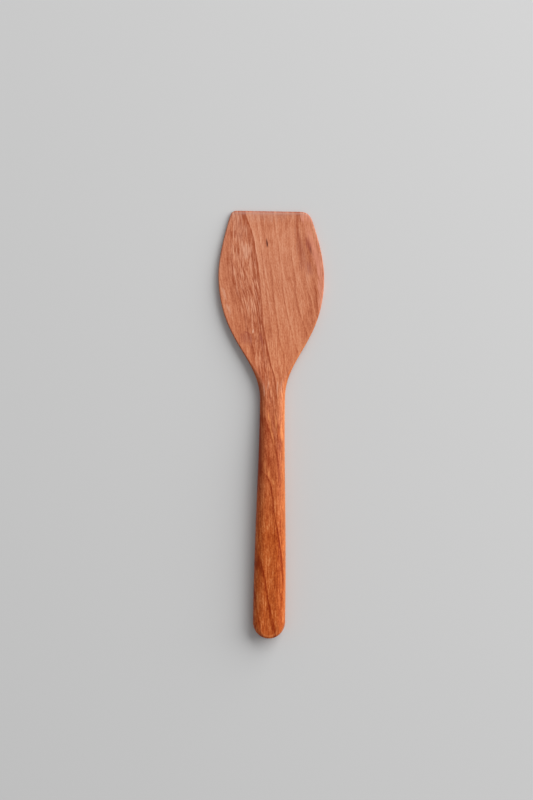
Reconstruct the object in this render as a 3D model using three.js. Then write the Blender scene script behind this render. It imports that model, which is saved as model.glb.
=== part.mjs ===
// A flat wooden kitchen spatula, carved in one piece from a single board of hardwood.
// X runs across the blade, Y from the round end of the handle to the front edge, Z up.
// It lies on its flat underside, with the origin in the middle of its outline at table level.
import * as THREE from "three";

// Driving dimensions: lengths in millimetres, angles in degrees.

// Plan of the handle, from its round end to the neck, the narrowest place.
const HANDLE_LENGTH = 169.5;
const HANDLE_END_WIDTH = 23;
const NECK_WIDTH = 17.8;

// Plan of the blade, from the neck to the front edge.
const BLADE_LENGTH = 135.5;
const BLADE_WIDTH = 75.5;
const WIDEST_SETBACK = 47;
const FRONT_WIDTH = 55.2;
const FRONT_SKEW = 0.9;
const LEFT_CORNER = 3.5;
const RIGHT_CORNER = 6.5;

// How far each side holds its direction before it bends into the next curve.
const HANDLE_END_SWEEP = 71;
const HANDLE_NECK_SWEEP = 50;
const NECK_SWEEP = 31.3;
const SHOULDER_SWEEP = 47;
const SIDE_SWEEP = 15.5;

// The hand-sawn handle and blade both lean a little to the left of the neck.
const HANDLE_LEAN = 0.92;
const BLADE_LEAN = 0.65;
const LEAN_BLEND = 8;

// Thickness above the flat underside: fullest in the grip, and falling away quickly past the neck.
const HANDLE_END_THICKNESS = 11.4;
const GRIP_THICKNESS = 12.4;
const GRIP_DISTANCE = 90;
const NECK_THICKNESS = 8.8;
const NECK_BLEND = 40;
const SHOULDER_THICKNESS = 5.7;
const BLADE_THICKNESS = 4.3;
const FRONT_THICKNESS = 2.6;

// Edge roundings, as far as they reach in from the outline: upper edge, then lower edge.
const HANDLE_END_ROUNDING = 1.9;
const GRIP_ROUNDING = 8;
const NECK_ROUNDING = 5.2;
const BLADE_ROUNDING = 0.9;
const FRONT_ROUNDING = 1.9;
const LOWER_END_ROUNDING = 1.2;
const LOWER_GRIP_ROUNDING = 5;
const LOWER_NECK_ROUNDING = 3.2;
const LOWER_BLADE_ROUNDING = 0.6;
const LOWER_FRONT_ROUNDING = 1.2;
const END_BLEND = 30;
const FRONT_BLEND = 6;

// The most that a rounding takes of the thickness under it and of the narrowest width.
const UPPER_SHARE = 0.52;
const LOWER_SHARE = 0.35;
const WIDTH_SHARE = 0.49;

// Steps along the end arc, handle side, shoulder, blade side and front corner, and around the edges.
const SIDE_STEPS = [10, 12, 22, 12, 6];
const UPPER_STEPS = 6;
const LOWER_STEPS = 5;

const WOOD_COLOUR = 0xbb6c42;
const WOOD_ROUGHNESS = 0.55;

// Stations along the length, measured from the end of the handle.
const overallLength = HANDLE_LENGTH + BLADE_LENGTH;
const neckY = HANDLE_LENGTH;
const shoulderY = neckY + NECK_BLEND;
const widestY = overallLength - WIDEST_SETBACK;
const thicknessStations = [0, GRIP_DISTANCE, neckY, shoulderY, widestY, overallLength];
const edgeStations = [0, END_BLEND, neckY, shoulderY, overallLength - FRONT_BLEND, overallLength];

// A smooth run of thickness through its stations.
const thicknessCurve = new THREE.CubicInterpolant(thicknessStations, [
  HANDLE_END_THICKNESS, GRIP_THICKNESS, NECK_THICKNESS,
  SHOULDER_THICKNESS, BLADE_THICKNESS, FRONT_THICKNESS,
], 1);
const thicknessAt = (y) => thicknessCurve.evaluate(THREE.MathUtils.clamp(y, 0, overallLength))[0];

// A rounding that eases from each of its stations to the next.
function roundingAlong(values) {
  return (y) => values.slice(1).reduce((reach, value, index) => {
    const eased = THREE.MathUtils.smoothstep(y, edgeStations[index], edgeStations[index + 1]);
    return THREE.MathUtils.lerp(reach, value, eased);
  }, values[0]);
}

const upperRoundingAt = roundingAlong([
  HANDLE_END_ROUNDING, GRIP_ROUNDING, NECK_ROUNDING, BLADE_ROUNDING, BLADE_ROUNDING, FRONT_ROUNDING,
]);
const lowerRoundingAt = roundingAlong([
  LOWER_END_ROUNDING, LOWER_GRIP_ROUNDING, LOWER_NECK_ROUNDING,
  LOWER_BLADE_ROUNDING, LOWER_BLADE_ROUNDING, LOWER_FRONT_ROUNDING,
]);

// The centreline: two straight runs that lean left of the neck and blend into each other there.
function centreAt(y) {
  const past = (distance) => (distance + Math.hypot(distance, LEAN_BLEND)) / 2;
  const handleLean = Math.tan(THREE.MathUtils.degToRad(HANDLE_LEAN));
  const bladeLean = Math.tan(THREE.MathUtils.degToRad(BLADE_LEAN));
  return -handleLean * past(neckY - y) - bladeLean * past(y - neckY);
}

// One side of the outline as a half-width path, from the middle of the handle's end to the front edge.
function halfOutline(cornerLength, frontY, farFrontY) {
  const endRadius = HANDLE_END_WIDTH / 2;
  const neck = NECK_WIDTH / 2;
  const widest = BLADE_WIDTH / 2;
  const shoulder = new THREE.Vector2(widest, widestY + SIDE_SWEEP);
  const corner = new THREE.Vector2(FRONT_WIDTH / 2, frontY);
  const farCorner = new THREE.Vector2(-FRONT_WIDTH / 2, farFrontY);
  const cornerStart = corner.clone().lerp(shoulder, cornerLength / corner.distanceTo(shoulder));
  const cornerEnd = corner.clone().lerp(farCorner, cornerLength / corner.distanceTo(farCorner));
  const path = new THREE.Path();
  path.moveTo(0, 0);
  path.absarc(0, endRadius, endRadius, -Math.PI / 2, 0);
  path.bezierCurveTo(endRadius, endRadius + HANDLE_END_SWEEP, neck, neckY - HANDLE_NECK_SWEEP, neck, neckY);
  path.bezierCurveTo(neck, neckY + NECK_SWEEP, widest, widestY - SHOULDER_SWEEP, widest, widestY);
  path.quadraticCurveTo(shoulder.x, shoulder.y, cornerStart.x, cornerStart.y);
  path.quadraticCurveTo(corner.x, corner.y, cornerEnd.x, cornerEnd.y);
  return path.curves.flatMap((curve, index) => curve.getPoints(SIDE_STEPS[index]).slice(index ? 1 : 0));
}

// The outline, anticlockwise from the middle of the handle's end, bent along the centreline.
function outlineLoop() {
  const right = halfOutline(RIGHT_CORNER, overallLength - FRONT_SKEW, overallLength);
  const left = halfOutline(LEFT_CORNER, overallLength, overallLength - FRONT_SKEW);
  const mirrored = left.map((point) => new THREE.Vector2(-point.x, point.y));
  const loop = [...right, ...mirrored.slice(1).reverse()];
  return loop.map((point) => new THREE.Vector2(point.x + centreAt(point.y), point.y));
}

// The outward direction at a place on the loop, square to its neighbours.
function outwardAt(loop, index) {
  const before = loop.at(index - 1);
  const after = loop[(index + 1) % loop.length];
  return new THREE.Vector2(after.y - before.y, before.x - after.x).normalize();
}

// The edge's section at one place: from the upper face over its rounding, down and under to the lower face.
function edgeSection(point, outward) {
  const thickness = thicknessAt(point.y);
  const widthLimit = WIDTH_SHARE * Math.min(NECK_WIDTH, HANDLE_END_WIDTH);
  const upperReach = Math.min(upperRoundingAt(point.y), widthLimit);
  const lowerReach = Math.min(lowerRoundingAt(point.y), widthLimit);
  const upperDrop = Math.min(upperReach, UPPER_SHARE * thickness);
  const lowerRise = Math.min(lowerReach, LOWER_SHARE * thickness);
  const section = [];
  const addPoint = (inset, height) => {
    const place = point.clone().addScaledVector(outward, -inset);
    section.push(new THREE.Vector3(place.x, place.y, height));
  };
  for (let step = 0; step <= UPPER_STEPS; step += 1) {
    const angle = (Math.PI / 2) * (1 - step / UPPER_STEPS);
    addPoint(upperReach * (1 - Math.cos(angle)), thickness - upperDrop * (1 - Math.sin(angle)));
  }
  for (let step = 0; step <= LOWER_STEPS; step += 1) {
    const angle = (Math.PI / 2) * (step / LOWER_STEPS);
    addPoint(lowerReach * (1 - Math.cos(angle)), lowerRise * (1 - Math.sin(angle)));
  }
  return section;
}

// The whole body: an edge band around the outline, closed by the upper and the lower face.
function spatulaGeometry() {
  const loop = outlineLoop();
  const sections = loop.map((point, index) => edgeSection(point, outwardAt(loop, index)));
  const rows = sections[0].length;
  const vertexAt = (place, row) => (place % loop.length) * rows + row;
  const triangles = [];
  const addQuad = (a, b, c, d) => triangles.push(a, b, c, a, c, d);

  for (let place = 0; place < loop.length; place += 1) {
    for (let row = 0; row < rows - 1; row += 1) {
      addQuad(
        vertexAt(place, row), vertexAt(place, row + 1),
        vertexAt(place + 1, row + 1), vertexAt(place + 1, row),
      );
    }
  }

  // The upper face is ruled straight across, from each place on the right to its twin on the left.
  const sidePlaces = (loop.length - 1) / 2;
  const twinOf = (place) => loop.length - place;
  triangles.push(vertexAt(0, 0), vertexAt(1, 0), vertexAt(twinOf(1), 0));
  for (let place = 1; place < sidePlaces; place += 1) {
    addQuad(
      vertexAt(place, 0), vertexAt(place + 1, 0),
      vertexAt(twinOf(place + 1), 0), vertexAt(twinOf(place), 0),
    );
  }

  // The lower face is flat.
  const lowerLoop = sections.map((section) => new THREE.Vector2(section.at(-1).x, section.at(-1).y));
  for (const [a, b, c] of THREE.ShapeUtils.triangulateShape(lowerLoop, [])) {
    triangles.push(vertexAt(a, rows - 1), vertexAt(c, rows - 1), vertexAt(b, rows - 1));
  }

  const geometry = new THREE.BufferGeometry().setFromPoints(sections.flat());
  geometry.setIndex(triangles);
  geometry.computeBoundingBox();
  const middle = geometry.boundingBox.getCenter(new THREE.Vector3());
  geometry.translate(-middle.x, -middle.y, 0);
  geometry.computeVertexNormals();
  return geometry;
}

const wood = new THREE.MeshStandardMaterial({
  color: WOOD_COLOUR,
  roughness: WOOD_ROUGHNESS,
  metalness: 0,
});
const spatula = new THREE.Mesh(spatulaGeometry(), wood);
spatula.name = "spatula";

const assembly = new THREE.Group();
assembly.add(spatula);

export default assembly;
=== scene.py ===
"""A flat cooking spatula, carved in one piece from a board of cherry and finished with oil.

X runs across the blade, Y from the round end of the handle to the front edge, and Z up from the table.
The body is lofted by a node tree: an edge section is carried round the plan outline and filled to a spine.
"""

import math
from functools import partial
from itertools import pairwise

import bpy
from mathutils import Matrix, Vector


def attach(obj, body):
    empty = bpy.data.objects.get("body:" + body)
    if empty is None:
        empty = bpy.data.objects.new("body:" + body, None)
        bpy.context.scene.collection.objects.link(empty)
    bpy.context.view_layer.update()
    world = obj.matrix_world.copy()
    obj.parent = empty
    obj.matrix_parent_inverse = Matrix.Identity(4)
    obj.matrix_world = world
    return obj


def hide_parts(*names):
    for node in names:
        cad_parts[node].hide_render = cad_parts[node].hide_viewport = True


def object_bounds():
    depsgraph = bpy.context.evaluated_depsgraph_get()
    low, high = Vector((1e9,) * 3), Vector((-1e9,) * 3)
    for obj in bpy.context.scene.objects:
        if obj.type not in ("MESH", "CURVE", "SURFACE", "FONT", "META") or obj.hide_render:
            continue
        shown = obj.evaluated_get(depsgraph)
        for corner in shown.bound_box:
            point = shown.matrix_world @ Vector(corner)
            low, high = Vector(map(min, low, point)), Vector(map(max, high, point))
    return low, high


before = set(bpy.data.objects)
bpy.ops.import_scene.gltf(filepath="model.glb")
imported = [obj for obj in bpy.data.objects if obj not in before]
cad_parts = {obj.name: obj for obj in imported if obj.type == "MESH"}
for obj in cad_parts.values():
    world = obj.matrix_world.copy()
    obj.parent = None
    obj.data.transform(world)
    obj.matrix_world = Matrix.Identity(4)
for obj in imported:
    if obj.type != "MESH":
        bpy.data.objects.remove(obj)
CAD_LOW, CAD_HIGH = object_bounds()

bl_info = {
    "name": "Cherry Spatula",
    "version": (1, 0, 0),
    "blender": (4, 5, 0),
    "location": "View3D > Sidebar > Spatula",
    "description": "Carves a one-piece cherry spatula and sets a plain stage under it",
    "category": "Object",
}

MM = 0.001
CAD_SIZE = CAD_HIGH - CAD_LOW


def linear(code):
    """The linear colour of an sRGB hex value."""
    channels = [int(code[start:start + 2], 16) / 255 for start in (1, 3, 5)]
    return [c / 12.92 if c <= 0.04045 else ((c + 0.055) / 1.055) ** 2.4 for c in channels]


def length(name, millimetres, description):
    """A length that a user can change, given in millimetres and kept in metres."""
    return bpy.props.FloatProperty(
        name=name, description=description, default=millimetres * MM, min=0, precision=4, unit="LENGTH")


def angle(name, degrees, description):
    """An angle that a user can change, given in degrees."""
    return bpy.props.FloatProperty(
        name=name, description=description, default=math.radians(degrees), subtype="ANGLE")


def share(name, amount, description):
    """A part of a whole, from 0 to 1."""
    return bpy.props.FloatProperty(
        name=name, description=description, default=amount, min=0, max=1, subtype="FACTOR")


def colour(name, code, description):
    """A colour that a user can change, given as an sRGB hex value."""
    return bpy.props.FloatVectorProperty(
        name=name, description=description, default=linear(code), min=0, max=1, size=3, subtype="COLOR")


class SpatulaSizes(bpy.types.PropertyGroup):
    """The spatula's driving sizes."""

    overall_length: length("Overall length", CAD_SIZE.y / MM, "From the round end to the front edge")
    handle_length: length("Handle length", 169.5, "From the handle's round end to the neck")
    handle_end_width: length("Handle end width", 23, "Diameter of the round end in plan")
    neck_width: length("Neck width", 17.8, "Width at the narrowest place")
    blade_width: length("Blade width", CAD_SIZE.x / MM, "Width at the widest place")
    widest_setback: length("Widest setback", 47, "From the front edge back to the widest place")
    front_width: length("Front width", 55.2, "Width of the front edge between its sharp corners")
    front_skew: length("Front skew", 0.9, "How much shorter the blade is on its right side")
    left_corner: length("Left corner", 3.5, "Setback of the left front corner's rounding")
    right_corner: length("Right corner", 6.5, "Setback of the right front corner's rounding")

    handle_end_sweep: length("Handle end sweep", 71, "How far the side holds straight beyond the round end")
    handle_neck_sweep: length("Handle neck sweep", 50, "How far the side holds straight before the neck")
    neck_sweep: length("Neck sweep", 31.3, "How far the side holds straight beyond the neck")
    shoulder_sweep: length("Shoulder sweep", 47, "How far the side holds straight before the widest place")
    side_sweep: length("Side sweep", 15.5, "How far the side holds straight beyond the widest place")
    handle_lean: angle("Handle lean", 0.92, "Slant of the handle to the left of the neck")
    blade_lean: angle("Blade lean", 0.65, "Slant of the blade to the left of the neck")
    lean_blend: length("Lean blend", 8, "Length over which the two slants run into each other")

    end_thickness: length("Handle end thickness", 11.4, "Thickness at the handle's round end")
    grip_thickness: length("Grip thickness", CAD_SIZE.z / MM, "Thickness at the middle of the grip")
    grip_distance: length("Grip distance", 90, "From the handle's round end to the middle of the grip")
    neck_thickness: length("Neck thickness", 8.8, "Thickness at the neck")
    shoulder_thickness: length("Shoulder thickness", 5.7, "Thickness where the blade's crisp edge begins")
    blade_thickness: length("Blade thickness", 4.3, "Thickness at the widest place")
    front_thickness: length("Front thickness", 2.6, "Thickness at the front edge")
    end_rounding: length("End rounding", 1.9, "Upper edge rounding at the handle's round end")
    grip_rounding: length("Grip rounding", 8, "Upper edge rounding along the grip")
    neck_rounding: length("Neck rounding", 5.2, "Upper edge rounding at the neck")
    blade_rounding: length("Blade rounding", 0.9, "Upper edge rounding along the blade")
    front_rounding: length("Front rounding", 1.9, "Upper edge rounding along the front edge")
    end_blend: length("End blend", 30, "From the round end to where the grip's rounding is full")
    neck_blend: length("Neck blend", 40, "From the neck on to where the blade's crisp edge begins")
    front_blend: length("Front blend", 6, "From the front edge back to where its rounding has run out")
    lower_share: share("Lower rounding", 0.62, "Lower edge rounding as a share of the upper one")
    waviness: length("Waviness", 0.12, "Height of the low waves that scraping and sanding leave")
    waviness_width: length("Waviness width", 22, "Distance between those waves")


class CherryFinish(bpy.types.PropertyGroup):
    """The colours and gloss of the wood."""

    # The three blade colours also hold a painted pale reflection of the light on the blade.
    blade_dark: colour("Blade dark", "#9C4C2E", "Dense latewood where the wood is dry")
    blade_middle: colour("Blade middle", "#C27958", "Plain wood where it is dry")
    blade_light: colour("Blade light", "#DA9C7C", "Pale fibres where the wood is dry")
    handle_dark: colour("Handle dark", "#882C08", "Dense latewood where oil has soaked in")
    handle_middle: colour("Handle middle", "#B85926", "Plain wood where oil has soaked in")
    handle_light: colour("Handle light", "#DF8E55", "Pale fibres where oil has soaked in")
    fleck: colour("Fleck", "#DBA88E", "Pinkish pale flecks of the rays")
    # Also the colour of the painted highlight along the front arris.
    worn_and_highlight: colour("Worn arris", "#B8948A", "Dry greyish pink where the edges are worn")
    stain: colour("Heart stain", "#934538", "Reddish stain of the heartwood")
    blush: colour("Sapwood blush", "#D98F78", "Pinkish pale wood towards the bark")
    gum: colour("Gum streak", "#562822", "Dark streak of gum")
    blade_roughness: share("Blade roughness", 0.52, "Roughness of the dry wood")
    handle_roughness: share("Handle roughness", 0.36, "Roughness of the oiled wood")


class StageSettings(bpy.types.PropertyGroup):
    """The floor, the light and the camera."""

    floor_colour: colour("Floor colour", "#C6C6C6", "Plain pale floor")
    key_power: bpy.props.FloatProperty(
        name="Key power", description="Power of the large soft lamp", default=172, min=0, unit="POWER")
    key_width: length("Key width", 4200, "Width of the large soft lamp")
    key_drop: length("Key drop", 3000, "Height of the large soft lamp")
    key_distance: length("Key distance", 3000, "From the lamp to the spatula")
    key_azimuth: angle("Key direction", 37, "Direction of the lamp, from +X towards +Y")
    key_height: angle("Key height", 29, "Angle of the lamp above the floor")
    sky_level: share("Sky level", 0.4, "Even light from all round")
    backdrop_level: share("Backdrop level", 0.6, "How bright the far background looks")
    view_centre: bpy.props.FloatVectorProperty(
        name="View centre", description="The place on the floor that the camera looks down on",
        default=(-3.35 * MM, 17.1 * MM), size=2, unit="LENGTH")
    view_height: length("View height", 570.9, "Length of floor that the picture's height takes in")
    view_level: length("View level", 4, "Height above the floor at which that length is measured")
    lens: bpy.props.FloatProperty(
        name="Lens", description="Focal length in millimetres", default=85, min=1, unit="CAMERA")


# Kinds of node that both the carving and the wood use

MATH = "ShaderNodeMath"
VECTOR_MATH = "ShaderNodeVectorMath"
MAP_RANGE = "ShaderNodeMapRange"
FLOAT_CURVE = "ShaderNodeFloatCurve"
NOISE = "ShaderNodeTexNoise"
MIX = "ShaderNodeMix"
COMBINE = "ShaderNodeCombineXYZ"
SEPARATE = "ShaderNodeSeparateXYZ"


def add_node(tree, kind, *values, named=None, curve=(), ramp=(), **settings):
    """Adds a node with its settings, and sets or links its inputs in their order or by name."""
    node = tree.nodes.new(kind)
    for name, setting in settings.items():
        setattr(node, name, setting)
    if curve:
        points = node.mapping.curves[0].points
        points[0].location, points[1].location = curve[0], curve[-1]
        for place in curve[1:-1]:
            points.new(*place)
        for point in points:
            point.handle_type = "AUTO_CLAMPED"
        node.mapping.update()
    for index, (place, tint) in enumerate(ramp):
        stops = node.color_ramp.elements
        stop = stops[index] if index < len(stops) else stops.new(place)
        stop.position, stop.color = place, (*tint, 1)
    sockets = [socket for socket in node.inputs if socket.enabled]
    wanted = [*zip(sockets, values), *((node.inputs[name], value) for name, value in (named or {}).items())]
    for socket, value in wanted:
        if isinstance(value, bpy.types.Node):
            value = next(output for output in value.outputs if output.enabled)
        if isinstance(value, bpy.types.NodeSocket):
            tree.links.new(value, socket)
        elif value is not None:
            socket.default_value = value
    return node


# The plan outline

# How far a point's handles reach: in radii round a quarter circle, and as shares of the way towards a
# bend's corner and along a straight run. Then the steps from one point to the next.
QUARTER_CIRCLE = 0.5523
TO_CORNER = 2 / 3
STRAIGHT_RUN = 1 / 3
PLAN_STEPS = 64


def half_outline(sizes, corner_setback, front, far_front):
    """One half of the plan, as curve points with both handles, from the round end to the front's middle."""
    radius = sizes.handle_end_width / 2
    neck = sizes.neck_width / 2
    widest = sizes.blade_width / 2
    neck_along = sizes.handle_length
    widest_along = sizes.overall_length - sizes.widest_setback
    bow = Vector((widest, widest_along + sizes.side_sweep))
    corner = Vector((sizes.front_width / 2, front))
    far_corner = Vector((-sizes.front_width / 2, far_front))
    side_end = corner.lerp(bow, corner_setback / (corner - bow).length)
    front_end = corner.lerp(far_corner, corner_setback / (corner - far_corner).length)
    middle = (corner + far_corner) / 2
    widest_place = Vector((widest, widest_along))
    return [
        (Vector((-radius * QUARTER_CIRCLE, 0)), Vector((0, 0)), Vector((radius * QUARTER_CIRCLE, 0))),
        (Vector((radius, radius * (1 - QUARTER_CIRCLE))), Vector((radius, radius)),
         Vector((radius, radius + sizes.handle_end_sweep))),
        (Vector((neck, neck_along - sizes.handle_neck_sweep)), Vector((neck, neck_along)),
         Vector((neck, neck_along + sizes.neck_sweep))),
        (Vector((widest, widest_along - sizes.shoulder_sweep)), widest_place,
         widest_place.lerp(bow, TO_CORNER)),
        (side_end.lerp(bow, TO_CORNER), side_end, side_end.lerp(corner, TO_CORNER)),
        (front_end.lerp(corner, TO_CORNER), front_end, front_end.lerp(middle, STRAIGHT_RUN)),
        (middle.lerp(front_end, STRAIGHT_RUN), middle, middle.lerp(far_corner, STRAIGHT_RUN)),
    ]


def centre_at(sizes, along):
    """How far the centreline lies to the right of the neck: two slants that blend into each other there."""
    before = sizes.handle_length - along
    blend = math.hypot(before, sizes.lean_blend)
    handle_part = math.tan(sizes.handle_lean) * (blend + before) / 2
    blade_part = math.tan(sizes.blade_lean) * (blend - before) / 2
    return -handle_part - blade_part


def plan_curve(sizes):
    """The plan as two splines: up the right side to the front's middle, and down the left side again."""
    full, short = sizes.overall_length, sizes.overall_length - sizes.front_skew
    right = half_outline(sizes, sizes.right_corner, short, full)
    mirrored = half_outline(sizes, sizes.left_corner, full, short)
    left = [
        tuple(Vector((-point.x, point.y)) for point in reversed(anchor)) for anchor in reversed(mirrored)
    ]
    widest_centre = centre_at(sizes, sizes.overall_length - sizes.widest_setback)
    data = bpy.data.curves.new("plan", "CURVE")
    for half in (right, left):
        spline = data.splines.new("BEZIER")
        spline.bezier_points.add(len(half) - 1)
        for point, anchor in zip(spline.bezier_points, half):
            point.handle_left_type = point.handle_right_type = "FREE"
            point.handle_left, point.co, point.handle_right = (
                (place.x + centre_at(sizes, place.y) - widest_centre, place.y + CAD_LOW.y, 0)
                for place in anchor
            )
        spline.resolution_u = PLAN_STEPS
    plan = bpy.data.objects.new("plan", data)
    bpy.context.scene.collection.objects.link(plan)
    return plan


# The carved body

# Points along each side and around the edge, and the places on a side beyond which the places towards its
# end fan out from one place on the spine.
OUTLINE_POINTS = 400
SECTION_POINTS = 105
HANDLE_FAN = 22
FRONT_FAN = 320
WELD = 0.004 * MM
WAVE_SEED = 7.0

# The most that the upper and the lower rounding take of the thickness.
UPPER_DROP = 0.52
LOWER_RISE = 0.35

# The rubbed arris with its painted highlight and the oiled flank fade out over these widths inwards. The
# arris also fades out over this share of the upper rounding, and the flank where its rim turns more than
# this share towards an end.
ARRIS_WIDTH = 0.9 * MM
ARRIS_SHARE = 0.5
FLANK_WIDTH = 2 * MM
FLANK_TURN = 0.5

# Where the edge section's stretches end: upper face, upper rounding, wall, lower rounding.
UPPER_FACE, UPPER_EDGE, WALL, LOWER_EDGE = 0.40, 0.57, 0.63, 0.77

STORE = "GeometryNodeStoreNamedAttribute"
STORED = "GeometryNodeInputNamedAttribute"
RESAMPLE = "GeometryNodeResampleCurve"

BODY_INPUTS = {
    "Plan": "NodeSocketObject",
    "Outline Points": "NodeSocketInt",
    "Section Points": "NodeSocketInt",
    "Rear": "NodeSocketFloat",
    "Front": "NodeSocketFloat",
    "Greatest Thickness": "NodeSocketFloat",
    "Greatest Rounding": "NodeSocketFloat",
    "Lower Share": "NodeSocketFloat",
    "Waviness": "NodeSocketFloat",
    "Waviness Width": "NodeSocketFloat",
    "Seed": "NodeSocketFloat",
    "Wood": "NodeSocketMaterial",
}


def thickness_stations(sizes):
    """Thickness along the length, as shares of the whole length and of the greatest thickness."""
    full = sizes.overall_length
    stations = [
        (0, sizes.end_thickness), (sizes.grip_distance, sizes.grip_thickness),
        (sizes.handle_length, sizes.neck_thickness),
        (sizes.handle_length + sizes.neck_blend, sizes.shoulder_thickness),
        (full - sizes.widest_setback, sizes.blade_thickness), (full, sizes.front_thickness),
    ]
    return [(along / full, thickness / sizes.grip_thickness) for along, thickness in stations]


def rounding_stations(sizes):
    """Upper rounding along the length, as shares of the whole length and of the greatest rounding."""
    full = sizes.overall_length
    stations = [
        (0, sizes.end_rounding), (sizes.end_blend, sizes.grip_rounding),
        (sizes.handle_length, sizes.neck_rounding),
        (sizes.handle_length + sizes.neck_blend, sizes.blade_rounding),
        (full - sizes.front_blend, sizes.blade_rounding), (full, sizes.front_rounding),
    ]
    return [(along / full, rounding / sizes.grip_rounding) for along, rounding in stations]


def plan_rim(add, given):
    """The plan in even steps, each place with its way outwards and its place on the spine.

    The spine lies halfway between a place and its twin on the other side.
    """
    plan = add("GeometryNodeObjectInfo", given["Plan"]).outputs["Geometry"]
    rim = add(RESAMPLE, plan, None, given["Outline Points"], mode="COUNT")
    position = add("GeometryNodeInputPosition")
    index = add("GeometryNodeInputIndex")
    last = add(MATH, given["Outline Points"], 2, -1, operation="MULTIPLY_ADD")
    nearer = add(MATH, index, add(MATH, last, index, operation="SUBTRACT"), operation="MINIMUM")
    held = add("ShaderNodeClamp", nearer, HANDLE_FAN, FRONT_FAN)
    twin = add(MATH, last, held, operation="SUBTRACT")
    right, left = (
        add("GeometryNodeSampleIndex", rim, position, place, data_type="FLOAT_VECTOR")
        for place in (held, twin)
    )
    spine = add(MIX, 0.5, right, left, data_type="VECTOR")

    # Outwards is square to the rim, and straight back at the round end where the two sides meet.
    beside = add(MATH, nearer, 0.5, operation="GREATER_THAN")
    square = add(VECTOR_MATH, add("GeometryNodeInputTangent"), (0, 0, 1), operation="CROSS_PRODUCT")
    steered = add(VECTOR_MATH, square, add(COMBINE, beside, 1, 0), operation="MULTIPLY")
    outward = add(VECTOR_MATH, steered, operation="NORMALIZE")
    for name, field in (("rim", position), ("spine", spine), ("outward", outward)):
        rim = add(STORE, rim, None, name, field, data_type="FLOAT_VECTOR")
    return rim


def low_waves(add, given, carved, on_wall):
    """The carved place, moved by the low waves that scraping and sanding leave on the upper face."""
    wave_scale = add(MATH, 1, given["Waviness Width"], operation="DIVIDE")
    waves = add(NOISE, carved, given["Seed"], wave_scale, 1, noise_dimensions="4D")
    lift = add(MAP_RANGE, waves, 0, 1, -1, 1)
    upper_lift = add(MATH, lift, add(MATH, 1, on_wall, operation="SUBTRACT"), operation="MULTIPLY")
    rise = add(MATH, upper_lift, given["Waviness"], operation="MULTIPLY")
    return add(VECTOR_MATH, carved, add(COMBINE, 0, 0, rise), operation="ADD")


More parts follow.
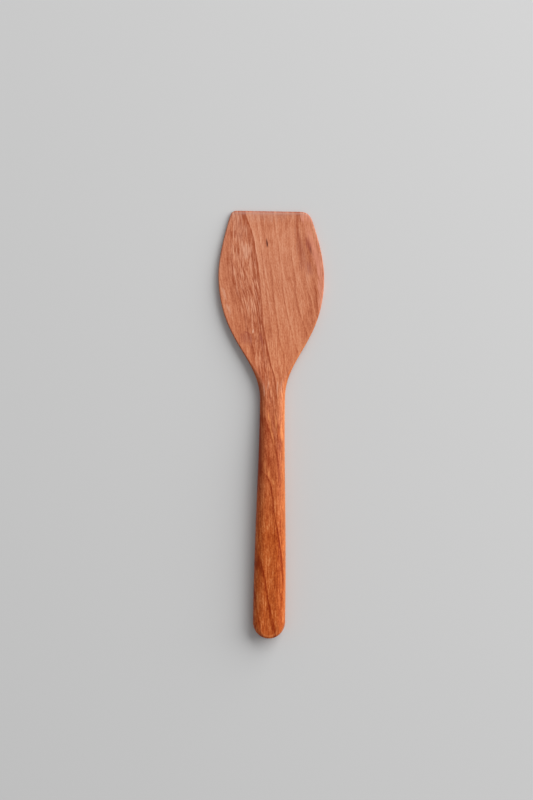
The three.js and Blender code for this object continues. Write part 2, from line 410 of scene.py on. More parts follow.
def body_tree(sizes):
    """Carries the edge section round the plan and fills it to a spine between the two sides."""
    tree = bpy.data.node_groups.new("carved_body", "GeometryNodeTree")
    for name, kind in BODY_INPUTS.items():
        tree.interface.new_socket(name, in_out="INPUT", socket_type=kind)
    tree.interface.new_socket("Body", in_out="OUTPUT", socket_type="NodeSocketGeometry")
    given = tree.nodes.new("NodeGroupInput").outputs
    add = partial(add_node, tree)

    rim = plan_rim(add, given)

    # A band around the rim, whose short way is the edge section.
    section = add(
        RESAMPLE, add("GeometryNodeCurvePrimitiveLine"), None, given["Section Points"], mode="COUNT")
    section = add(STORE, section, None, "section", add("GeometryNodeSplineParameter"))
    band = add("GeometryNodeCurveToMesh", rim, section)

    rim_place, spine_place, outward_way = (
        add(STORED, name, data_type="FLOAT_VECTOR") for name in ("rim", "spine", "outward")
    )
    step = add(STORED, "section", data_type="FLOAT")
    on_face, on_upper, on_wall, on_lower, on_under = (
        add(MAP_RANGE, step, start, end)
        for start, end in pairwise((0, UPPER_FACE, UPPER_EDGE, WALL, LOWER_EDGE, 1))
    )

    def along_of(place):
        """How far along the length a place lies, from 0 to 1."""
        return add(MAP_RANGE, add(SEPARATE, place).outputs["Y"], given["Rear"], given["Front"])

    def thickness_of(along):
        """How thick the body is there."""
        curve = add(FLOAT_CURVE, 1, along, curve=thickness_stations(sizes))
        return add(MATH, curve, given["Greatest Thickness"], operation="MULTIPLY")

    rim_along = along_of(rim_place)
    rim_thickness = thickness_of(rim_along)
    rounding = add(FLOAT_CURVE, 1, rim_along, curve=rounding_stations(sizes))
    upper_reach = add(MATH, rounding, given["Greatest Rounding"], operation="MULTIPLY")
    lower_reach = add(MATH, upper_reach, given["Lower Share"], operation="MULTIPLY")
    upper_most = add(MATH, rim_thickness, UPPER_DROP, operation="MULTIPLY")
    lower_most = add(MATH, rim_thickness, LOWER_RISE, operation="MULTIPLY")
    upper_drop = add(MATH, upper_reach, upper_most, operation="MINIMUM")
    lower_rise = add(MATH, lower_reach, lower_most, operation="MINIMUM")

    # Quarter turns of the upper and the lower rounding.
    quarter = math.pi / 2
    upper_turn = add(MATH, on_upper, quarter, operation="MULTIPLY")
    lower_turn = add(MATH, on_lower, quarter, operation="MULTIPLY")
    upper_in = add(MATH, 1, add(MATH, upper_turn, operation="SINE"), operation="SUBTRACT")
    upper_down = add(MATH, 1, add(MATH, upper_turn, operation="COSINE"), operation="SUBTRACT")
    lower_in = add(MATH, 1, add(MATH, lower_turn, operation="COSINE"), operation="SUBTRACT")
    lower_up = add(MATH, 1, add(MATH, lower_turn, operation="SINE"), operation="SUBTRACT")
    lower_inset = add(MATH, lower_reach, lower_in, operation="MULTIPLY")
    inset = add(MATH, upper_reach, upper_in, lower_inset, operation="MULTIPLY_ADD")

    # The plan place: in from the rim by the rounding, and on the faces on towards the spine.
    inward = add(VECTOR_MATH, outward_way, named={"Scale": inset}, operation="SCALE")
    edge = add(VECTOR_MATH, rim_place, inward, operation="SUBTRACT")
    off_face = add(MATH, 1, on_face, operation="SUBTRACT")
    inner = add(MATH, off_face, on_under, operation="ADD")
    place = add(MIX, inner, edge, spine_place, data_type="VECTOR")
    flat = add(SEPARATE, place)

    # The height: under the upper face by the rounding's drop, and down the wall to the lower rounding.
    thickness = thickness_of(along_of(place))
    fall = add(MATH, upper_drop, upper_down, operation="MULTIPLY")
    upper_height = add(MATH, thickness, fall, operation="SUBTRACT")
    lower_height = add(MATH, lower_rise, lower_up, operation="MULTIPLY")
    height = add(MIX, on_wall, upper_height, lower_height)
    carved = add(COMBINE, flat.outputs["X"], flat.outputs["Y"], height)

    # What the finish needs: depth under the upper rounding, end grain, flanks and the arris at both ends.
    depth = add(MATH, thickness, add(MATH, height, upper_drop, operation="ADD"), operation="SUBTRACT")
    under = add(MATH, depth, 0, operation="MAXIMUM")
    endwise = add(MATH, add(SEPARATE, outward_way).outputs["Y"], operation="ABSOLUTE")
    on_edge = add(MATH, on_upper, on_lower, operation="SUBTRACT")
    end_grain = add(MATH, endwise, on_edge, operation="MULTIPLY")
    across_face = add(VECTOR_MATH, edge, spine_place, operation="DISTANCE").outputs["Value"]
    from_edge = add(MATH, across_face, off_face, operation="MULTIPLY")
    from_rim = add(MATH, inset, from_edge, operation="ADD")
    sideways = add(MAP_RANGE, endwise, FLANK_TURN, 1, 1, 0)
    near_rim = add(MAP_RANGE, from_rim, 0, FLANK_WIDTH, sideways, 0)
    flank = add(MAP_RANGE, on_lower, 0, 1, near_rim, 0)
    near_face = add(MAP_RANGE, from_edge, 0, ARRIS_WIDTH, 1, 0)
    near_round = add(MAP_RANGE, on_upper, 0, ARRIS_SHARE, 1, 0)
    on_arris = add(MATH, near_face, near_round, operation="MULTIPLY")
    arris = add(MATH, on_arris, endwise, operation="MULTIPLY")
    body = band
    for name, field in (("under", under), ("end_grain", end_grain), ("flank", flank), ("arris", arris)):
        body = add(STORE, body, None, name, field)

    waved = low_waves(add, given, carved, on_wall)
    body = add("GeometryNodeSetPosition", body, None, waved)
    body = add("GeometryNodeMergeByDistance", body, None, WELD)
    for name in ("rim", "spine", "outward", "section"):
        body = add("GeometryNodeRemoveAttribute", body, name)
    body = add("GeometryNodeSetShadeSmooth", body)
    body = add("GeometryNodeRealizeInstances", body)
    body = add("GeometryNodeSetMaterial", body, None, given["Wood"])
    add("NodeGroupOutput", body)
    return tree


def carve_body(sizes, wood):
    """The finished body as a plain mesh object."""
    plan = plan_curve(sizes)
    tree = body_tree(sizes)
    body = bpy.data.objects.new("cherry_spatula", bpy.data.meshes.new("cherry_spatula"))
    bpy.context.scene.collection.objects.link(body)
    carving = body.modifiers.new("carving", "NODES")
    carving.node_group = tree
    amounts = {
        "Plan": plan,
        "Outline Points": OUTLINE_POINTS,
        "Section Points": SECTION_POINTS,
        "Rear": CAD_LOW.y,
        "Front": CAD_LOW.y + sizes.overall_length,
        "Greatest Thickness": sizes.grip_thickness,
        "Greatest Rounding": sizes.grip_rounding,
        "Lower Share": sizes.lower_share,
        "Waviness": sizes.waviness,
        "Waviness Width": sizes.waviness_width,
        "Seed": WAVE_SEED,
        "Wood": wood,
    }
    for socket in tree.interface.items_tree:
        if socket.in_out == "INPUT":
            carving[socket.identifier] = amounts[socket.name]
    depsgraph = bpy.context.evaluated_depsgraph_get()
    mesh = bpy.data.meshes.new_from_object(
        body.evaluated_get(depsgraph), preserve_all_data_layers=True, depsgraph=depsgraph)
    body.modifiers.remove(carving)
    body.data = mesh
    mesh.name = "cherry_spatula"
    bpy.data.objects.remove(plan)
    if not mesh.polygons:
        raise RuntimeError("the carving gave no faces")
    return body


# The cherry. All sizes in this part are in millimetres.

# Half the length and half the width of the stretch of board that the growth lines cover.
HALF_LENGTH = 153.0
HALF_BOARD = 85.0

# Growth lines of the board, from left to right: how dark its latewood is, how pale the wood after it, how
# wide each of them is, from where to where along the board it shows, and its course over the upper face as
# (along, across) points from the front edge to the handle's end.
GROWTH_LINES = (
    (0.2, 0.2, 2.0, 170, -170, ((152, -82), (0, -52), (-100, -25), (-152, -16))),
    (0.4, 0.2, 1.6, 170, -170, (
        (152, -72), (60, -56), (0, -42), (-60, -24), (-100, -15), (-125, -11), (-140, -8.5), (-152, -6))),
    (0.85, 0.15, 2.4, -92, -170, (
        (152, -62), (60, -46), (0, -32), (-40, -23), (-80, -15), (-90, -11), (-96, -7.9), (-105, -5.6),
        (-115, -3.6), (-128, -1.4), (-137, 0.6), (-152, 3.6))),
    (0.75, 0.25, 1.2, -31, -128, (
        (152, -54), (60, -40), (20, -31), (-10, -21), (-25, -13.5), (-31, -10), (-33, -7.5), (-34.5, -5.4),
        (-37.4, -2.6), (-43, -0.4), (-52, 1.2), (-63, 2.4), (-75, 4.6), (-88, 6.4), (-99, 7.8),
        (-110, 8.6), (-152, 11))),
    (0.5, 0.2, 1.8, 12, -50, (
        (152, -47), (100, -37), (60, -25), (30, -13.5), (6, -5), (-8, -0.4), (-16, 2.6), (-26, 5),
        (-35.5, 6.1), (-60, 9), (-100, 13), (-152, 17))),
    (0.55, 0.35, 1.3, 140, 42, (
        (152, -30), (138, -28.5), (113, -27.5), (101, -26.2), (88, -21.3), (78, -19), (67, -16.8),
        (53, -12.8), (37, -8.8), (20, -4.5), (5, -0.5), (-13, 3.2), (-26, 6.2), (-60, 11), (-152, 20))),
    (0.35, 0.3, 1.0, 170, 15, (
        (152, -25.5), (129, -23.5), (119, -23), (106, -17.7), (95, -14.2), (85, -11), (76, -9.3), (60, -7),
        (40, -4.2), (20, -0.8), (0, 2.5), (-13, 4.8), (-26, 7.3), (-60, 13), (-152, 23))),
    (0.5, 0.0, 1.6, 170, 40, (
        (152, -21), (143, -17.8), (134, -15.2), (122, -13.6), (106, -11.8), (94, -10), (78, -8.2),
        (58, -5.7), (45, -4.2), (34, -2.6), (18, 0.3), (1.4, 3.2), (-13, 5.6), (-26, 7.9), (-60, 14),
        (-152, 25))),
    (0.92, 0.65, 1.25, 170, 4, (
        (152, -18.5), (147, -17.5), (141, -15.2), (134.5, -13), (124, -11.2), (115, -9.9), (106, -8.8),
        (94, -7.5), (78, -6.2), (69, -5.3), (55, -2.9), (43, -0.3), (32, 2.6), (19, 4.1), (6, 5.6),
        (-10, 8.2), (-26, 9.9), (-60, 15), (-152, 26))),
    (0.3, 0.25, 1.2, 170, 30, (
        (152, -12), (120, -6.5), (90, -3), (60, 1), (45, 4), (31, 6.5), (16, 7.6), (1.4, 8.6), (-13, 10),
        (-26, 11.5), (-60, 17), (-152, 29))),
    (0.5, 0.2, 1.2, 125, -170, (
        (152, -8), (138, -6.6), (133, -4.3), (118, -1.6), (106, 0.6), (94, 1.5), (82, 2.8), (70, 4.6),
        (58, 6.4), (47, 9.5), (41, 10.8), (20, 15), (-13, 19), (-60, 24), (-152, 36))),
    (0.35, 0.4, 1.2, 170, -170, (
        (152, 1.5), (147, 1.9), (135, 3.9), (120, 5.9), (106, 7.7), (94, 8.6), (82, 10.8), (70, 13.5),
        (60, 16.2), (50, 19.3), (20, 27), (-60, 36), (-152, 46))),
    (0.5, 0.55, 1.4, 128, -170, (
        (152, 8.2), (146, 8.6), (127, 13.5), (113, 15.3), (106, 16.7), (94, 17.5), (85, 18.9), (78, 20.7),
        (60, 27), (20, 36), (-60, 45), (-152, 54))),
    (0.25, 0.3, 2.2, 150, -170, (
        (152, 16.5), (135, 19.8), (120, 21.8), (112, 23), (99, 25), (85, 28.7), (76, 30), (70, 31),
        (50, 37), (0, 48), (-152, 62))),
    (0.35, 0.2, 1.8, 138, -170, (
        (152, 20.5), (145, 21.6), (136, 24.2), (126, 26.9), (113, 29.6), (101, 31.4), (88, 32.7),
        (81, 33.4), (60, 39), (0, 54), (-152, 70))),
    (0.2, 0.2, 2.0, 170, -170, ((152, 30), (120, 36), (90, 40), (60, 46), (0, 60), (-152, 78))),
)

# How the latewood darkens up to its line and stops, and how the pale wood follows, in widths of the line.
# Both reach this many widths to either side, and a full line counts this much.
LATEWOOD = (
    (-2, 0), (-1.3, 0), (-0.8, 0.3), (-0.35, 0.75), (-0.05, 1), (0.12, 0.75), (0.3, 0.1), (0.4, 0), (2, 0))
EARLYWOOD = ((-2, 0), (0.15, 0), (0.4, 0.7), (0.75, 1), (1.2, 0.55), (1.8, 0.1), (2, 0))
PROFILE_REACH = 2
FULL_LINE = 0.5

# A line comes in over the first length and runs out over twice as much. On its way it fades here and there.
LINE_FADE = 9
FADING_LENGTH = 18
FADING_SPACING = 7.3
FADING_NOISE = (0.35, 0.65)
FADING_RANGE = (0.62, 1.12)

# The rings lie aslant in the board, by this much across for each millimetre down, and waver.
RING_TILT = 1.2
WAVER_SIZE = (7, 26, 7)
WAVER_DETAIL = 3
WAVER_ROUGHNESS = 0.6
WOBBLE = 0.5

# How far a fibre has drifted to the right on its way from the front edge.
FIBRE_DRIFT = (
    (-153, 20), (-10, 16), (20, 15), (45, 13.2), (70, 11.4), (88, 9), (100, 6), (110, 4.2), (120, 3.4),
    (153, 2.2))
FULL_DRIFT = 20

# Fibre layers: width and length of a fibre, the share of its noise where it is darkest and lightest, and
# how far it moves the tone of plain, figured and oiled wood. Real fibres are finer than this, about 0.1 mm
# wide, and would not show at all.
FIBRES = (
    (0.45, 6, 0.3, 0.7, 0.06, 0.08, 0.06),
    (0.72, 13, 0.5, 0.62, 0.02, 0.17, 0.09),
    (0.75, 7, 0.38, 0.5, 0.02, 0.13, 0.06),
    (0.75, 1.5, 0.3, 0.7, 0.09, 0.1, 0.11),
    (1.3, 3.4, 0.34, 0.66, 0.04, 0.05, 0.07),
    (1.3, 24, 0.48, 0.66, 0.08, 0.02, 0.05),
    (2.4, 20, 0.3, 0.7, 0.05, 0.04, 0.04),
    (3.5, 11, 0.3, 0.7, 0.05, 0.04, 0.07),
    (6, 90, 0.3, 0.7, 0.09, 0.04, 0.04),
    (18, 45, 0.3, 0.7, 0.06, 0.05, 0.1),
)

# How much the wood is figured and how light its ground is, by growth line, and both of them along it.
FIGURED_ACROSS = (
    (0, 0), (4.3, 0.05), (4.9, 0.4), (5.2, 1), (7.2, 1), (8.1, 0.3), (9, 0.35), (10, 0.15), (15, 0.2))
FIGURED_ALONG = ((-153, 0.2), (-40, 0.4), (-10, 0.9), (40, 1), (60, 0.85), (85, 1), (153, 0.9))
GROUND_ACROSS = (
    (0, 0.5), (3, 0.49), (4, 0.45), (4.8, 0.42), (5.5, 0.38), (7, 0.38), (7.5, 0.41), (8, 0.48),
    (8.3, 0.57), (11, 0.57), (12.5, 0.52), (13.5, 0.43), (15, 0.43))
GROUND_ALONG = (
    (-153, 0.48), (-60, 0.49), (-25, 0.465), (5, 0.465), (30, 0.47), (52, 0.54), (100, 0.53), (130, 0.53),
    (142, 0.5), (153, 0.41))
MEAN_GROUND = 0.5

# How far the lines and the end grain move the tone, and at which tones the wood has its three colours.
PALE_LIFT = 0.4
DARK_DROP = -1.0
END_DROP_DRY, END_DROP_OILED = -0.5, -0.1
TONE_STOPS = (0.1, 0.5, 0.95)

# Where along the board the oil is full and where it has gone, on the faces and in the flanks; where it has
# gone, the blade's colours hold a painted pale reflection. The flanks get a painted highlight in the pale
# oiled colour towards the right, lit side: this much, this far to the right of the middle.
OIL_FULL, OIL_GONE = -80, 112
FLANK_FULL, FLANK_GONE = 50, 110
FLANK_HIGHLIGHT_REACH = 8
FLANK_HIGHLIGHT = 0.4

# How pale the ray flecks are at least and at most, and how strongly the arris is rubbed and painted with a
# highlight where the blade has dried out and where it is oiled.
FLECK_LEAST, FLECK_MOST = 0.03, 0.25
WEAR_AND_HIGHLIGHT_DRY, WEAR_AND_HIGHLIGHT_OILED = 0.45, 0.3

# Marks in the wood, and bands of painted highlight and shade along the handle's sides: across, along, half
# width, half length, slope, strength and colour.
MARKS = (
    (1.0, 151.0, 36.0, 9.0, 0.0, 0.15, "worn_and_highlight"),
    (22.0, 125.0, 6.0, 22.0, -0.2, 0.1, "gum"),
    (-23.0, 137.0, 6.0, 15.0, -0.2, 0.15, "fleck"),
    (-17.5, 139.0, 3.0, 11.0, -0.12, 0.35, "blade_dark"),
    (-17.5, 122.0, 3.6, 8.0, 0.0, 0.3, "fleck"),
    (22.5, 120.0, 4.0, 26.0, -0.2, 0.3, "stain"),
    (31.5, 122.0, 4.5, 32.0, -0.3, 0.5, "blush"),
    (35.5, 95.0, 3.2, 26.0, 0.0, 0.45, "blush"),
    (26.0, 147.0, 5.0, 6.0, 0.0, 0.4, "blush"),
    (27.2, 127.0, 2.6, 9.5, -0.28, 0.7, "stain"),
    (28.2, 124.0, 1.2, 4.5, -0.28, 0.45, "gum"),
    (27.5, 112.0, 3.0, 8.0, -0.2, 0.35, "stain"),
    (-33.4, 92.0, 1.4, 6.0, -0.25, 0.4, "fleck"),
    (-30.7, 82.5, 1.7, 7.0, -0.36, 0.4, "fleck"),
    (-18.5, 62.0, 5.0, 7.0, -0.3, 0.45, "stain"),
    (-17.3, 65.2, 1.2, 2.6, -1.77, 0.75, "stain"),
    (-14.3, 61.0, 0.8, 5.0, -0.15, 0.45, "stain"),
    (-13.0, 65.8, 0.8, 2.0, 0.0, 0.9, "fleck"),
    (-7.0, 61.0, 1.5, 5.5, -0.27, 0.6, "stain"),
    (-9.5, -33.0, 4.0, 6.0, 0.0, 0.5, "handle_dark"),
    (-9.8, -99.5, 3.6, 6.0, 0.0, 0.75, "handle_dark"),
    # Painted highlight along the handle's right, lit side.
    (9.4, -60.0, 4.2, 130.0, -0.01, 0.2, "handle_light"),
    # The next three marks are painted shade along the handle's left, shaded side and on the neck's left
    # rim.
    (-9.6, -60.0, 3.4, 130.0, 0.028, 0.05, "handle_dark"),
    (-8.6, -15.0, 3.8, 50.0, 0.028, 0.75, "handle_dark"),
    (-6.2, 2.5, 2.2, 7.0, -0.15, 0.65, "handle_dark"),
    (-2.0, -25.5, 0.8, 9.0, 0.0, 0.5, "handle_dark"),
    (-5.1, 24.0, 0.6, 8.0, -0.02, 0.5, "fleck"),
    (-2.3, 26.5, 0.6, 4.5, 0.0, 0.5, "fleck"),
    (4.4, 26.0, 0.6, 5.0, 0.0, 0.5, "fleck"),
    (7.1, 28.0, 0.6, 6.0, 0.0, 0.45, "fleck"),
    (-1.8, -35.0, 0.8, 4.5, -0.2, 0.6, "handle_light"),
    (1.4, -41.0, 0.8, 4.0, -0.3, 0.55, "handle_light"),
    (-4.2, -30.0, 0.7, 5.0, -0.1, 0.3, "handle_light"),
    (-1.5, 4.5, 0.9, 6.0, -0.15, 0.55, "handle_light"),
    (0.4, -7.0, 0.9, 8.0, -0.2, 0.5, "handle_light"),
    (3.6, 0.0, 0.9, 9.0, -0.12, 0.45, "handle_light"),
    (5.4, -7.0, 1.6, 9.0, -0.1, 0.5, "handle_middle"),
    (7.0, -6.0, 0.8, 12.0, -0.06, 0.5, "handle_light"),
    (-2.9, 128.6, 0.9, 4.7, -0.16, 1.0, "gum"),
)
MARK_CORE = 0.35
MARK_RAGGEDNESS = 0.25

# The surface: how much streaks change its roughness, how far the finest fibres stand up, and its gloss.
GLOSS_STREAKS = 0.05
RELIEF_STRENGTH = 0.5
RELIEF_HEIGHT = 0.03
WOOD_IOR = 1.48
WOOD_SPECULAR = 0.1


def course_shares(course, low, high):
    """A course along the board as shares: of the board's length, and of the way from low to high."""
    return [
        ((along + HALF_LENGTH) / (2 * HALF_LENGTH), (value - low) / (high - low))
        for along, value in course
    ]


def board_place(add, under):
    """Where a place lies in the board: along it, to its right, and across its rings.

    The rings lie aslant, so that they come out further on down the board's sides and below.
    """
    metres = add("ShaderNodeTexCoord").outputs["Object"]
    place = add(VECTOR_MATH, metres, named={"Scale": 1 / MM}, operation="SCALE")
    spot = add(SEPARATE, place)
    drawn_out = add(VECTOR_MATH, place, [1 / size for size in WAVER_SIZE], operation="MULTIPLY")
    waver = add(NOISE, drawn_out, named={
        "Scale": 1, "Detail": WAVER_DETAIL, "Roughness": WAVER_ROUGHNESS})
    wobble = add(MAP_RANGE, waver, 0, 1, -WOBBLE, WOBBLE)
    slanted = add(MATH, under, RING_TILT / MM, spot.outputs["X"], operation="MULTIPLY_ADD")
    return spot.outputs["Y"], spot.outputs["X"], add(MATH, slanted, wobble, operation="ADD")


def ring_lines(add, along, along_share, across):
    """Which ring a place lies in, and how dark and how pale its growth lines are there."""
    across_share = add(MAP_RANGE, across, -HALF_BOARD, HALF_BOARD)
    courses = [course_shares(reversed(course), -HALF_BOARD, HALF_BOARD) for *_, course in GROWTH_LINES]
    lines = [add(FLOAT_CURVE, 1, along_share, curve=course) for course in courses]
    ring = 0
    for line, next_line in pairwise(lines):
        ring = add(MATH, ring, add(MAP_RANGE, across_share, line, next_line), operation="ADD")

    dark_lines = pale_lines = 0
    for line, (dark, pale, width, begin, end, _) in zip(lines, GROWTH_LINES):
        reach = PROFILE_REACH * width / (2 * HALF_BOARD)
        offset = add(MAP_RANGE, add(MATH, across_share, line, operation="SUBTRACT"), -reach, reach)
        begun = add(MAP_RANGE, along, begin, begin - LINE_FADE)
        shows = add(MAP_RANGE, along, end, end + 2 * LINE_FADE, 0, begun)
        latewood, earlywood = (
            add(FLOAT_CURVE, 1, offset, curve=[
                (0.5 + place / (2 * PROFILE_REACH), amount * strength) for place, amount in profile
            ])
            for profile, strength in ((LATEWOOD, dark * FULL_LINE), (EARLYWOOD, pale * FULL_LINE))
        )
        dark_lines = add(MATH, latewood, shows, dark_lines, operation="MULTIPLY_ADD")
        pale_lines = add(MATH, earlywood, shows, pale_lines, operation="MULTIPLY_ADD")

    # Each line has its own stretch of noise.
    apart = add(MATH, add(MATH, ring, operation="ROUND"), FADING_SPACING, operation="MULTIPLY")
    along_line = add(COMBINE, apart, add(MATH, along, 1 / FADING_LENGTH, operation="MULTIPLY"), 0)
    noise = add(NOISE, along_line, named={"Scale": 1, "Detail": 2})
    fading = add(MAP_RANGE, noise, *FADING_NOISE, *FADING_RANGE)
    faded = (add(MATH, shade, fading, operation="MULTIPLY") for shade in (dark_lines, pale_lines))
    return ring, *faded


def wood_ground(add, ring, along_share):
    """How figured the wood is at a place, and how light its ground is there."""
    last_line = len(GROWTH_LINES) - 1
    ring_share = add(MATH, ring, last_line, operation="DIVIDE")
    figured_across, ground_across = (
        add(FLOAT_CURVE, 1, ring_share, curve=[(line / last_line, amount) for line, amount in course])
        for course in (FIGURED_ACROSS, GROUND_ACROSS)
    )
    figured_along, ground_along = (
        add(FLOAT_CURVE, 1, along_share, curve=course_shares(course, 0, 1))
        for course in (FIGURED_ALONG, GROUND_ALONG)
    )
    figured = add(MATH, figured_across, figured_along, operation="MULTIPLY")
    ground = add(MATH, ground_across, ground_along, operation="ADD")
    return figured, add(MATH, ground, MEAN_GROUND, operation="SUBTRACT")


def fibre_layers(add, along, along_share, across):
    """Noise drawn out along the grain, a layer for each kind of fibre, from -1, dark, to 1, light."""
    drift = add(FLOAT_CURVE, 1, along_share, curve=course_shares(FIBRE_DRIFT, 0, FULL_DRIFT))
    straight = add(MATH, drift, -FULL_DRIFT, across, operation="MULTIPLY_ADD")
    grain = add(COMBINE, straight, along, 0)
    layers = []
    for width, run, darkest, lightest, *_ in FIBRES:
        drawn_out = add(VECTOR_MATH, grain, (1 / width, 1 / run, 1), operation="MULTIPLY")
        noise = add(NOISE, drawn_out, named={"Scale": 1, "Detail": 1})
        layers.append(add(MAP_RANGE, noise, darkest, lightest, -1, 1))
    return layers


def lay_marks(add, finish, tint, right, along, streaks):
    """Single marks in the wood and bands of painted highlight and shade, each an oval with a ragged edge
    that fades out.
    """
    for x, y, half_width, half_length, slope, strength, name in MARKS:
        aside = add(MATH, along, -slope, right, operation="MULTIPLY_ADD")
        oval = add(
            VECTOR_MATH, add(COMBINE, aside, along, 0), (1 / half_width, 1 / half_length, 0),
            (-(x - slope * y) / half_width, -y / half_length, 0), operation="MULTIPLY_ADD")
        reach = add(VECTOR_MATH, oval, operation="LENGTH").outputs["Value"]
        ragged = add(MATH, streaks, -MARK_RAGGEDNESS, reach, operation="MULTIPLY_ADD")
        mask = add(MAP_RANGE, ragged, MARK_CORE, 1, strength, 0, interpolation_type="SMOOTHSTEP")
        tint = add(MIX, mask, tint, (*getattr(finish, name), 1), data_type="RGBA")
    return tint


def cherry(finish):
    """Cherry, planed, sanded and oiled: red-brown rings with short pale flecks.

    The blade has been washed and has dried out, so it is paler, pinker and duller, and its colours also
    hold a painted pale reflection of the light. The handle still holds its oil, so it is darker, more
    orange and has a soft shine.
    """
    material = bpy.data.materials.new("oiled_cherry")
    material.use_nodes = True
    tree = material.node_tree
    shader = tree.nodes["Principled BSDF"]
    add = partial(add_node, tree)
    under, end_grain, flank, arris = (
        add("ShaderNodeAttribute", attribute_name=name).outputs["Fac"]
        for name in ("under", "end_grain", "flank", "arris")
    )
    along, right, across = board_place(add, under)
    along_share = add(MAP_RANGE, along, -HALF_LENGTH, HALF_LENGTH)
    ring, dark_lines, pale_lines = ring_lines(add, along, along_share, across)
    figured, ground = wood_ground(add, ring, along_share)
    layers = fibre_layers(add, along, along_share, across)
    finest, streaks = layers[:2]

    # Oil has stayed in the handle and in the flanks up to the blade, and the blade has dried out; the
    # blade's colours there carry a painted pale reflection, which fades out as the oil comes in.
    oil = add(MAP_RANGE, along, OIL_GONE, OIL_FULL)
    kept = add(MATH, flank, add(MAP_RANGE, along, FLANK_GONE, FLANK_FULL), operation="MULTIPLY")
    soaked = add(MAP_RANGE, kept, 0, 1, oil, 1)

    # The tone: the ground, the fibres on it, the growth lines and the darker end grain.
    tone = ground
    for layer, (*_, plain_amount, figured_amount, oiled_amount) in zip(layers, FIBRES):
        dry_amount = add(MAP_RANGE, figured, 0, 1, plain_amount, figured_amount)
        amount = add(MIX, oil, dry_amount, oiled_amount)
        tone = add(MATH, layer, amount, tone, operation="MULTIPLY_ADD")
    end_drop = add(MAP_RANGE, oil, 0, 1, END_DROP_DRY, END_DROP_OILED)
    for layer, amount in ((pale_lines, PALE_LIFT), (dark_lines, DARK_DROP), (end_grain, end_drop)):
        tone = add(MATH, layer, amount, tone, operation="MULTIPLY_ADD")

    # The blade ramp below also holds a painted pale reflection of the light.
    dry_with_sheen, oiled = (
        add("ShaderNodeValToRGB", tone, ramp=zip(TONE_STOPS, tints))
        for tints in (
            (finish.blade_dark, finish.blade_middle, finish.blade_light),
            (finish.handle_dark, finish.handle_middle, finish.handle_light))
    )
    golden_highlight = (*finish.handle_light, 1)
    tint = add(MIX, soaked, dry_with_sheen, oiled, data_type="RGBA")
    # Painted highlight: the flank turns to the pale oiled colour towards the right, lit side.
    flank_highlight = add(MATH, kept, add(MAP_RANGE, across, 0, FLANK_HIGHLIGHT_REACH, 0, FLANK_HIGHLIGHT), operation="MULTIPLY")
    tint = add(MIX, flank_highlight, tint, golden_highlight, data_type="RGBA")

    # Pale flecks of the rays in the figured wood, and the single marks, among them painted highlight and
    # shade on the handle's sides.
    paleness = add(MAP_RANGE, streaks, -1, 1, FLECK_LEAST, FLECK_MOST)
    flecks = add(MATH, paleness, figured, operation="MULTIPLY")
    dry_flecks = add(MAP_RANGE, oil, 0, 1, flecks, 0)
    tint = add(MIX, dry_flecks, tint, (*finish.fleck, 1), data_type="RGBA")
    tint = lay_marks(add, finish, tint, right, along, streaks)

    # The upper arris is rubbed at both ends and carries a painted highlight: pale in front where the wood
    # has dried out, and gold-toned where it is oiled.
    wear_and_highlight = add(MAP_RANGE, oil, 0, 1, WEAR_AND_HIGHLIGHT_DRY, WEAR_AND_HIGHLIGHT_OILED)
    worn_and_highlight = add(MATH, arris, wear_and_highlight, operation="MULTIPLY")
    arris_tint = add(MIX, oil, (*finish.worn_and_highlight, 1), golden_highlight, data_type="RGBA")
    tint = add(MIX, worn_and_highlight, tint, arris_tint, data_type="RGBA")

    gloss = add(MAP_RANGE, oil, 0, 1, finish.blade_roughness, finish.handle_roughness)
    roughness = add(MATH, streaks, GLOSS_STREAKS, gloss, operation="MULTIPLY_ADD")
    relief = add("ShaderNodeBump", named={
        "Strength": RELIEF_STRENGTH, "Distance": RELIEF_HEIGHT * MM, "Height": finest})
    for name, node in (("Base Color", tint), ("Roughness", roughness), ("Normal", relief)):
        output = next(socket for socket in node.outputs if socket.enabled)
        tree.links.new(output, shader.inputs[name])
    shader.inputs["IOR"].default_value = WOOD_IOR
    shader.inputs["Specular IOR Level"].default_value = WOOD_SPECULAR
    return material


class SPATULA_OT_carve(bpy.types.Operator):
    """Carve the spatula from one board of cherry"""

    bl_idname = "spatula.carve"
    bl_label = "Carve Spatula"

    def execute(self, context):
        body = carve_body(context.scene.spatula_sizes, cherry(context.scene.spatula_finish))
        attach(body, "root")
        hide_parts("spatula")
        return {"FINISHED"}


# The stage. Its sizes are in metres, and the sensor's width in millimetres, as a lens is.

FLOOR_RADIUS = 2.2
FLOOR_SIDES = 128
FLOOR_DROP = 0.05 * MM
FLOOR_ROUGHNESS = 0.9
SENSOR = 36.0


def lay_floor(settings):
    """A plain pale round floor under the spatula."""
    mesh = bpy.data.meshes.new("floor")
    turns = [2 * math.pi * side / FLOOR_SIDES for side in range(FLOOR_SIDES)]
    rim = [(FLOOR_RADIUS * math.cos(turn), FLOOR_RADIUS * math.sin(turn), -FLOOR_DROP) for turn in turns]
    mesh.from_pydata(rim, [], [tuple(range(FLOOR_SIDES))])
    floor = bpy.data.objects.new("floor", mesh)
    bpy.context.scene.collection.objects.link(floor)
    paint = bpy.data.materials.new("matt_paint")
    paint.use_nodes = True
    shader = paint.node_tree.nodes["Principled BSDF"]
    shader.inputs["Base Color"].default_value = (*settings.floor_colour, 1)
    shader.inputs["Roughness"].default_value = FLOOR_ROUGHNESS
    shader.inputs["Specular IOR Level"].default_value = 0
    mesh.materials.append(paint)


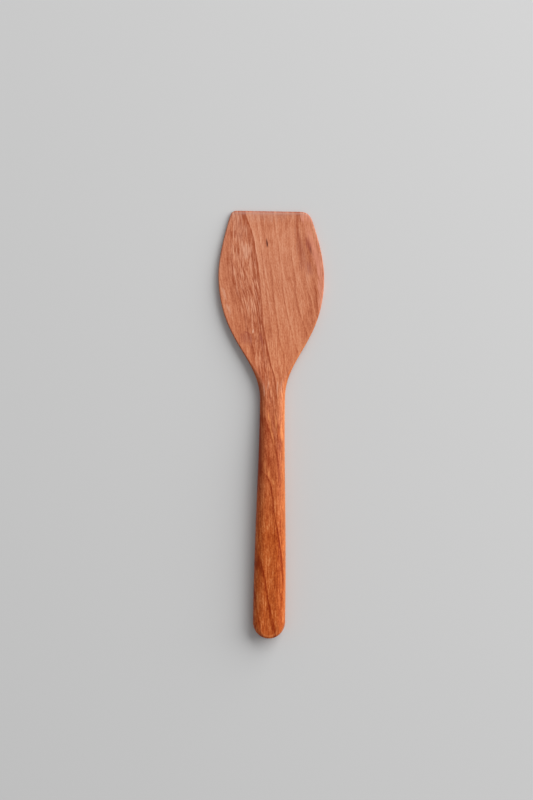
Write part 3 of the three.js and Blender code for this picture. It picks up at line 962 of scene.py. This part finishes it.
def hang_key(settings):
    """One large soft lamp, low on the right."""
    data = bpy.data.lights.new("key", "AREA")
    data.energy = settings.key_power
    data.shape = "RECTANGLE"
    data.size, data.size_y = settings.key_width, settings.key_drop
    key = bpy.data.objects.new("key", data)
    bpy.context.scene.collection.objects.link(key)
    flat = math.cos(settings.key_height)
    way = Vector((
        flat * math.cos(settings.key_azimuth), flat * math.sin(settings.key_azimuth),
        math.sin(settings.key_height),
    ))
    key.location = way * settings.key_distance
    key.rotation_euler = way.to_track_quat("Z", "Y").to_euler()
    key.visible_camera = False


def light_sky(settings):
    """Even light from all round, in front of a pale background."""
    world = bpy.data.worlds.new("sky")
    world.use_nodes = True
    tree = world.node_tree
    background = tree.nodes["Background"]
    background.inputs["Color"].default_value = (1, 1, 1, 1)
    seen = add_node(tree, "ShaderNodeLightPath").outputs["Is Camera Ray"]
    strength = add_node(tree, MAP_RANGE, seen, 0, 1, settings.sky_level, settings.backdrop_level)
    tree.links.new(strength.outputs["Result"], background.inputs["Strength"])
    bpy.context.scene.world = world


def place_camera(settings):
    """A camera that looks straight down, with the front edge at the top of the picture."""
    data = bpy.data.cameras.new("camera")
    data.lens = settings.lens
    data.sensor_width = SENSOR
    camera = bpy.data.objects.new("camera", data)
    bpy.context.scene.collection.objects.link(camera)
    distance = settings.view_height * settings.lens / SENSOR
    camera.location = (*settings.view_centre, distance + settings.view_level)
    bpy.context.scene.camera = camera


class SPATULA_OT_stage(bpy.types.Operator):
    """Lay a plain floor, hang the lights and place the camera"""

    bl_idname = "spatula.stage"
    bl_label = "Set Stage"

    def execute(self, context):
        settings = context.scene.spatula_stage
        lay_floor(settings)
        hang_key(settings)
        light_sky(settings)
        place_camera(settings)
        context.scene.view_settings.view_transform = "Standard"
        return {"FINISHED"}


class SPATULA_PT_panel(bpy.types.Panel):
    """The spatula's sizes, finish and stage"""

    bl_label = "Cherry Spatula"
    bl_idname = "SPATULA_PT_panel"
    bl_space_type = "VIEW_3D"
    bl_region_type = "UI"
    bl_category = "Spatula"

    def draw(self, context):
        scene = context.scene
        for group, operator in (
            (scene.spatula_sizes, None), (scene.spatula_finish, "spatula.carve"),
            (scene.spatula_stage, "spatula.stage"),
        ):
            box = self.layout.box()
            for name in group.__annotations__:
                box.prop(group, name)
            if operator:
                box.operator(operator)


CLASSES = (
    SpatulaSizes, CherryFinish, StageSettings, SPATULA_OT_carve, SPATULA_OT_stage, SPATULA_PT_panel,
)


def register():
    for cls in CLASSES:
        bpy.utils.register_class(cls)
    bpy.types.Scene.spatula_sizes = bpy.props.PointerProperty(type=SpatulaSizes)
    bpy.types.Scene.spatula_finish = bpy.props.PointerProperty(type=CherryFinish)
    bpy.types.Scene.spatula_stage = bpy.props.PointerProperty(type=StageSettings)


def unregister():
    del bpy.types.Scene.spatula_stage
    del bpy.types.Scene.spatula_finish
    del bpy.types.Scene.spatula_sizes
    for cls in reversed(CLASSES):
        bpy.utils.unregister_class(cls)


def main():
    register()
    bpy.ops.spatula.carve()
    bpy.ops.spatula.stage()


if __name__ == "__main__":
    main()
